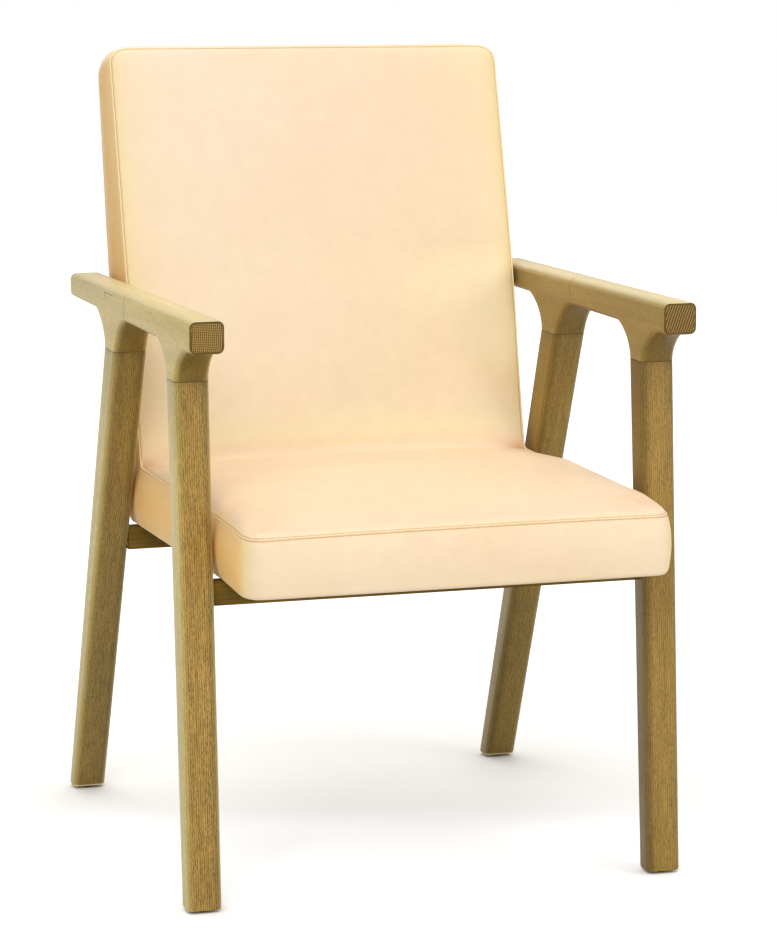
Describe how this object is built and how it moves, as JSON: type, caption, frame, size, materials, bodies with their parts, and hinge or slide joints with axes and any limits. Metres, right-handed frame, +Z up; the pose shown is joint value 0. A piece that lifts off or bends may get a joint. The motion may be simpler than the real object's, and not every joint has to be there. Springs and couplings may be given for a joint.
{
  "type": "lounge chair",
  "caption": "Upholstered armchair: two flat wooden side frames with raked legs and armrests, two cross rails, a padded seat and a slanted padded back.",
  "frame": {"origin": "on the floor, under the middle of the chair's bounding box", "axes": "+Z up, -Y towards the front of the seat, +X towards the right side frame as seen from the front"},
  "size_m": [0.603, 0.7198, 0.955],
  "materials": {
    "arm_wood": "satin olive-brown stained beech",
    "leg_wood": "satin olive-brown stained beech",
    "rail_wood": "satin olive-brown stained beech",
    "dowel_wood": "plain fluted beech",
    "glide": "dark nail-on glide",
    "steel": "zinc plated",
    "bracket_steel": "dark paint",
    "frame_wood": "raw hardwood",
    "webbing": "woven elastic webbing",
    "lining": "thin non-woven cloth",
    "upholstery": "smooth cream-peach cover over foam"
  },
  "bodies": {
    "root": {"arm_front_left": "arm_wood", "arm_front_right": "arm_wood", "arm_rear_left": "arm_wood", "arm_rear_right": "arm_wood", "leg_front_left": "leg_wood", "leg_front_right": "leg_wood", "leg_rear_left": "leg_wood", "leg_rear_right": "leg_wood", "arm_dowels_left": "dowel_wood", "arm_dowels_right": "dowel_wood", "front_leg_dowels_left": "dowel_wood", "front_leg_dowels_right": "dowel_wood", "rear_leg_dowels_left": "dowel_wood", "rear_leg_dowels_right": "dowel_wood", "glide_front_left": "glide", "glide_front_right": "glide", "glide_rear_left": "glide", "glide_rear_right": "glide", "rail_front": "rail_wood", "rail_rear": "rail_wood", "front_rail_dowels_left": "dowel_wood", "front_rail_dowels_right": "dowel_wood", "rear_rail_dowels_left": "dowel_wood", "rear_rail_dowels_right": "dowel_wood", "seat_screw_front_left": "steel", "seat_screw_front_right": "steel", "seat_screw_rear_left": "steel", "seat_screw_rear_right": "steel", "seat_frame_front": "frame_wood", "seat_frame_rear": "frame_wood", "seat_frame_left": "frame_wood", "seat_frame_right": "frame_wood", "seat_belt_1": "webbing", "seat_belt_2": "webbing", "seat_belt_3": "webbing", "seat_belt_4": "webbing", "seat_belt_5": "webbing", "dust_cover": "lining", "seat_cushion": "upholstery", "back_stile_left": "frame_wood", "back_stile_right": "frame_wood", "back_frame_top": "frame_wood", "back_frame_bottom": "frame_wood", "back_belt_1": "webbing", "back_belt_2": "webbing", "back_belt_3": "webbing", "back_belt_4": "webbing", "bracket_left": "bracket_steel", "bracket_right": "bracket_steel", "seat_bolt_left": "steel", "seat_bolt_right": "steel", "stile_bolt_left": "steel", "stile_bolt_right": "steel", "back_cushion": "upholstery", "outer_back": "upholstery"}
  },
  "joints": []
}
